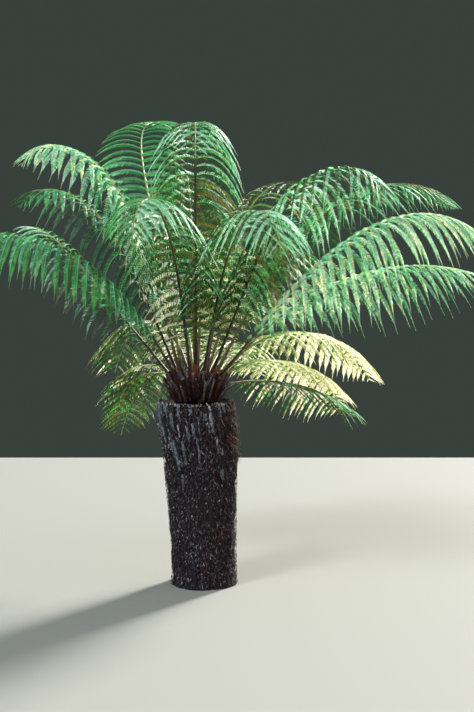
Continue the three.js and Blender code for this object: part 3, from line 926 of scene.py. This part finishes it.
def centreline(frond):
    bearing = math.radians(frond.turn)
    ring = RING_INNER + RING_PER_DEGREE * (90 - frond.rise)
    start = CROWN_CENTRE + ring * np.array([math.cos(bearing), math.sin(bearing), 0])
    if frond.rise < LOW_RISE:
        start = start + LOW_START * UP
    along = frond_frame(frond, (np.arange(CENTRE_STEPS) + 0.5) / CENTRE_STEPS)[0]
    steps = np.cumsum(along * frond.length / CENTRE_STEPS, axis=0)
    return np.concatenate((start[None], start + steps))


def on_line(points, share):
    """Points at shares of the length of one line of evenly spaced points."""
    place = np.clip(share, 0, 1) * (len(points) - 1)
    first = np.minimum(place.astype(int), len(points) - 2)
    part = (place - first)[..., None]
    return points[first] * (1 - part) + points[first + 1] * part


def stalk_tone(look, share):
    return next(tone for end, tone in STALK_LOOKS[look] if share < end)


def frond_nodes(numbers):
    """The frame's nodes of some fronds, which are counted from 0 here."""
    return [f"frond_{number + 1:02d}_{half}" for number in numbers for half in ("lower", "upper")]


def stalks(fronds, lines):
    """Tubes along the rachises, dealt out to one piece for each stalk tone."""
    share = np.linspace(0, 1, CENTRE_STEPS + 1)
    radius = between(RACHIS_RADIUS, share ** RACHIS_TAPER)
    ups = np.stack([frond_frame(frond, share)[2] for frond in fronds])
    points, faces = tubes(lines, ups, radius, radius * RACHIS_DEEP, RACHIS_SIDES)
    per_step = faces.reshape(len(fronds), CENTRE_STEPS, RACHIS_SIDES, 4)
    middle = (share[1:] + share[:-1]) / 2
    tones = np.array([[stalk_tone(frond.stalk, s) for s in middle] for frond in fronds])
    for tone, code in STALK_TONES.items():
        toned = tones == tone
        held = frond_nodes(np.flatnonzero(toned.any(axis=1)))
        add_used(f"stalks_{tone}", points, per_step[toned].reshape(-1, 4), stalk_material(tone, code),
                 "stalk", held)


def foot_hairs(lines):
    """Hairs that lie along the lowest part of each stalk."""
    rng = default_rng(19)
    frond = np.repeat(np.arange(len(lines)), FOOT_HAIRS)
    share = 0.095 * rng.random(frond.size) ** 1.2
    start = np.stack([on_line(lines[k], s) for k, s in zip(frond, share)])
    along = unit(lines[frond, 6] - lines[frond, 0])
    around = unit(np.cross(along, rng.normal(0, 1, (frond.size, 3))))
    length = rng.uniform(0.010, 0.030, frond.size)
    steps = np.linspace(0, 1, len(FOOT_HAIR_TAPER))
    lift = RACHIS_RADIUS[0] * 0.9 + 0.006 * rng.random((frond.size, 1)) * steps
    strands = straight_lines(start, along, length, steps) + around[:, None] * lift[..., None]
    widths = rng.uniform(0.0008, 0.0014, (frond.size, 1)) * FOOT_HAIR_TAPER
    hairs = strips(strands, around[:, None], widths)
    tones = picked(("red", "red", "brown"), frond.size, rng)
    add_bodies("foot_hairs", *hairs, tones, "strand", "stalk", frond_nodes(range(len(lines))))


def leaflet_table(frond, number, line, rng):
    """Where each of a frond's leaflets starts, its directions there, its length, twist and droop."""
    pairs = round((1 - BARE_STALK) * frond.length / PAIR_SPACING)
    edges = (np.arange(pairs + 1) / pairs) ** PAIR_CROWDING
    u = np.repeat((edges[1:] + edges[:-1]) / 2, 2)
    gap = np.repeat(np.diff(edges), 2) * (1 - BARE_STALK) * frond.length
    hand = np.tile((1, -1), pairs)
    s = BARE_STALK + (1 - BARE_STALK) * u
    along, side, above = frond_frame(frond, s)
    pair = np.repeat(np.arange(pairs), 2)
    leans = LEANING_TURNS[0] < frond.turn < LEANING_TURNS[1]
    shift = LEAFLET_SPREAD["angle"] * jitter(pair, number + hand / 2) - (LEAN if leans else 0)
    angle = np.radians(ANGLE_LOW - ANGLE_DROP * u ** ANGLE_POWER + shift)[:, None]
    share = u ** SHARE_RISE * (1 - u) ** SHARE_FALL / SHARE_TOP
    length = frond.leaflet * share * (1 + LEAFLET_SPREAD["length"] * jitter(number + hand / 2, pair))
    heading = along * np.cos(angle) + side * np.sin(angle) * hand[:, None] + above * LIFT
    droop = frond.droop * (1 + LEAFLET_SPREAD["droop"] * rng.uniform(-1, 1, u.size))
    half = np.minimum(PINNULE_OVERLAP * gap * np.sin(angle[:, 0]) / 2, PINNULE_SLIMNESS * length)
    twist = np.radians(LEAFLET_TWIST + LEAFLET_SPREAD["twist"] * rng.uniform(-1, 1, u.size)) * hand
    return Leaflets(on_line(line, s), along, above, unit(heading), length, droop, half, twist,
                    look_numbers(frond, hand), spray_shades(frond, u, hand, rng),
                    np.full(u.size, number - 1))


def look_numbers(frond, hand):
    names = list(LEAF_LOOKS)
    return np.where(hand > 0, names.index(frond.left), names.index(frond.right))


def spray_shades(frond, u, hand, rng):
    """How light each leaflet is in its look, 0 to 1: painted light, a slow wave along the frond, and
    strays.
    """
    growth = np.where(hand > 0, LEAF_LOOKS[frond.left].growth, LEAF_LOOKS[frond.right].growth)
    wave = LOOK_WAVE_SHARE * np.sin(LOOK_WAVES * FULL_TURN * u + rng.uniform(0, FULL_TURN))
    return 0.5 + growth * (u - 0.5) + wave + LOOK_STRAY_SHARE * rng.uniform(-1, 1, u.size)


def tone_numbers(looks, shades):
    """The leaf tone for each look and shade."""
    names = list(LEAF_TONES)
    tones = np.zeros(looks.shape, dtype=int)
    for number, look in enumerate(LEAF_LOOKS.values()):
        ladder = np.array([names.index(tone) for tone in look.tones.split()])
        step = np.clip(shades * len(ladder), 0, len(ladder) - 1).astype(int)
        tones = np.where(looks == number, ladder[step], tones)
    return tones


def leaflet_lines(leaflets):
    """The leaflets' centrelines, which leave the rachis sideways and hang under their weight."""
    middle = (np.arange(LEAFLET_STEPS) + 0.5) / LEAFLET_STEPS
    hang = leaflets.droop[:, None] * middle * leaflets.length[:, None] / HANG_LENGTH
    tangent = unit(leaflets.heading[:, None] - hang[..., None] * UP)
    steps = np.cumsum(tangent * (leaflets.length / LEAFLET_STEPS)[:, None, None], axis=1)
    root = leaflets.root[:, None]
    return np.concatenate((root, root + steps), axis=1)


def ribs(leaflets, lines):
    size = between(RIB_RADIUS, np.linspace(0, 1, LEAFLET_STEPS + 1) ** 0.7)
    size = size * np.clip(leaflets.length / RIB_FULL_LENGTH, RIB_THINNEST, 1)[:, None]
    points, faces = tubes(lines, leaflets.above[:, None], size, size, 3)
    per_rib = faces.reshape(len(lines), -1, 4)
    tones = tone_numbers(leaflets.look, leaflets.shade)
    for name, (leaf_tones, code, slot) in RIBS.items():
        chosen = np.isin(tones, [list(LEAF_TONES).index(tone) for tone in leaf_tones])
        material = leaf_material(name, code, code, LEAF_GLOW)
        held = frond_nodes(np.unique(leaflets.frond[chosen]))
        add_used(name, points, per_rib[chosen].reshape(-1, 4), material, slot, held)


def pinnule_outline(rows):
    """A pinnule's points, as shares of its length and half width, and its triangles."""
    points = [(length, width * hand) for length, width in rows for hand in (-1, 0, 1)] + [(1.0, 0.0)]
    faces = []
    for left in range(0, 3 * len(rows) - 3, 3):
        for near in (left, left + 1):
            faces += [(near, near + 1, near + 4), (near, near + 4, near + 3)]
    last, tip = 3 * len(rows) - 3, 3 * len(rows)
    faces += [(last, last + 1, tip), (last + 1, last + 2, tip)]
    return np.array(points), np.array(faces)


def pinnule_places(leaflets):
    """Each pinnule's leaflet, its hand, its share of the rib's length and the gap to the next."""
    spacing = np.clip(PINNULE_PER_HALF * leaflets.half, *PINNULE_SPACING)
    places = np.maximum(3, np.round(leaflets.length / spacing)).astype(int)
    leaflet = np.repeat(np.arange(len(places)), places * 2)
    first = np.repeat(np.cumsum(places * 2) - places * 2, places * 2)
    order = np.arange(leaflet.size) - first
    hand = np.where(order % 2 == 0, 1.0, -1.0)
    t = (order // 2 + 0.5 + PINNULE_SHIFT * (hand + 1) / 2) / (places[leaflet] + 0.4)
    return leaflet, hand, t, leaflets.length[leaflet] / places[leaflet]


def rib_frame(leaflets, lines, leaflet, t):
    """Each pinnule's root, its rib's direction there and the directions across it."""
    step = t * LEAFLET_STEPS
    row = np.minimum(step.astype(int), LEAFLET_STEPS - 1)
    part = (step - row)[:, None]
    near, far = lines[leaflet, row], lines[leaflet, row + 1]
    tangent = unit(far - near)
    along = leaflets.along[leaflet]
    across = unit(along - dot(along, tangent) * tangent)
    normal = np.cross(tangent, across)
    normal = normal * np.sign(dot(normal, leaflets.above[leaflet]) + 1e-9)
    twist = leaflets.twist[leaflet][:, None] * np.sign(dot(np.cross(across, normal), tangent))
    return near * (1 - part) + far * part, tangent, *turned(across, normal, twist)


def pinnule_table(leaflets, lines, rng):
    """Root, directions, sizes and tone of every pinnule, two to each place on a rib."""
    leaflet, hand, t, gap = pinnule_places(leaflets)
    root, tangent, across, normal = rib_frame(leaflets, lines, leaflet, t)
    length = leaflets.half[leaflet] * read_off(LEAFLET_PROFILE, 1, t)
    length = length * (1 + PINNULE_SPREAD["length"] * rng.uniform(-1, 1, t.size))
    spread = PINNULE_SPREAD["angle"] * rng.uniform(-1, 1, t.size)
    angle = np.radians(between(PINNULE_ANGLE, t ** 1.6) + spread)[:, None]
    heading = tangent * np.cos(angle) + across * np.sin(angle) * hand[:, None]
    width = unit(np.cross(normal, heading))
    tilt = between(PINNULE_TILT, (hand + 1) / 2) * np.sign(dot(width, tangent))[:, 0]
    roll = np.radians(tilt + PINNULE_SPREAD["roll"] * rng.uniform(-1, 1, t.size))[:, None]
    width, normal = turned(width, normal, roll)
    looks = leaflets.look[leaflet]
    stray = np.array([look.stray for look in LEAF_LOOKS.values()])[looks]
    # Painted light: lighter towards each leaflet's tip and on its half towards the frond's tip
    shade = leaflets.shade[leaflet] + PAINTED_TIP_LIGHT * (t - 0.5)
    shade = shade + PAINTED_HALF_LIGHT * hand / 2 + stray * rng.uniform(-1, 1, t.size)
    half = np.minimum(PINNULE_WIDTH * gap, 0.40 * length + 0.0005)
    return Pinnules(root, heading, width, normal, length, half, leaflet, tone_numbers(looks, shade))


def pinnules(table, chosen, rows):
    """The chosen pinnules' points and triangles. They lift off the rib and hang towards their tips."""
    outline, faces = pinnule_outline(rows)
    far, wide = outline[:, 0][None, :, None], outline[:, 1][None, :, None]
    length = table.length[chosen][:, None, None]
    half = table.half[chosen][:, None, None]
    bend = (PINNULE_LIFT * far - PINNULE_DROOP * far ** 2) * length - PINNULE_FOLD * np.abs(wide) * half
    points = (table.root[chosen][:, None] + table.heading[chosen][:, None] * far * length
              + table.width[chosen][:, None] * wide * half + table.normal[chosen][:, None] * bend)
    return points, repeat_faces(faces, len(points), len(outline))


def leaves(leaflets, lines):
    """The pinnules of all leaflets, each leaf tone in pieces of its own."""
    table = pinnule_table(leaflets, lines, default_rng(23))
    small = table.length < SMALL_PINNULE
    counts = np.where(small, len(pinnule_outline(PLAIN_ROWS)[1]), len(pinnule_outline(TOOTHED_ROWS)[1]))
    for index, (name, (face, through)) in enumerate(LEAF_TONES.items()):
        sunlit = name in SUNLIT_TONES
        material = leaf_material(f"leaf_{name}", face, through, SUNLIT_GLOW if sunlit else LEAF_GLOW)
        toned = table.tone == index
        part = np.cumsum(counts * toned) // PIECE_TRIANGLES
        for number in range(part[-1] + 1):
            chosen = toned & (part == number)
            toothed, toothed_faces = pinnules(table, chosen & ~small, TOOTHED_ROWS)
            plain, plain_faces = pinnules(table, chosen & small, PLAIN_ROWS)
            points = np.concatenate((toothed.reshape(-1, 3), plain.reshape(-1, 3)))
            faces = np.concatenate((toothed_faces, plain_faces + toothed.size // 3))
            held = frond_nodes(np.unique(leaflets.frond[table.leaflet[chosen]]))
            make_piece(f"leaves_{name}_{number + 1}", points, [faces], material,
                       "leaf_sunlit" if sunlit else "leaf", held, smooth=False)


def foliage():
    rng = default_rng(22)
    fronds = all_fronds()
    lines = np.stack([centreline(frond) for frond in fronds])
    stalks(fronds, lines)
    foot_hairs(lines)
    tables = [leaflet_table(frond, k + 1, lines[k], rng) for k, frond in enumerate(fronds)]
    leaflets = Leaflets(*map(np.concatenate, zip(*tables)))
    leaflet_centres = leaflet_lines(leaflets)
    ribs(leaflets, leaflet_centres)
    leaves(leaflets, leaflet_centres)


def stage():
    mesh = bpy.data.meshes.new("floor")
    corners = [(x * FLOOR_REACH, y * FLOOR_REACH, 0) for x, y in ((-1, -1), (1, -1), (1, 1), (-1, 1))]
    mesh.from_pydata(corners, [], [(0, 1, 2, 3)])
    floor = add_object("floor", mesh)
    matt = {"Base Color": colour(FLOOR_COLOUR), "Roughness": FLOOR_ROUGHNESS}
    mesh.materials.append(new_material("floor", matt)[0])


def lights():
    world = bpy.data.worlds.new("sky")
    world.use_nodes = True
    set_values(world.node_tree.nodes["Background"], {"Color": SKY_COLOUR, "Strength": 1.0})
    bpy.context.scene.world = world
    bpy.context.scene.view_settings.view_transform = "Standard"
    for name, (place, filled, power, tint) in LIGHTS.items():
        light = bpy.data.lights.new(name, "SUN")
        light.angle = math.radians(filled)
        light.energy = power
        light.color = tint
        lamp = add_object(name, light)
        lamp.location = place
        lamp.rotation_mode = "QUATERNION"
        lamp.rotation_quaternion = (-Vector(place)).to_track_quat("-Z", "Y")


def camera():
    data = bpy.data.cameras.new("camera")
    data.sensor_fit = "VERTICAL"
    data.sensor_height = SENSOR_HEIGHT
    data.lens = FOCAL_PIXELS / PHOTO_HEIGHT * SENSOR_HEIGHT
    holder = add_object("camera", data)
    holder.location = CAMERA_PLACE
    holder.rotation_euler = (math.radians(90 - CAMERA_PITCH), 0, 0)
    bpy.context.scene.camera = holder


camera()
lights()
stage()
trunk_bark()
stalk_bases()
trunk_fibres()
trunk_curls()
trunk_chips()
crown_core()
crown_stubs()
crown_splinters()
crown_hairs()
foliage()
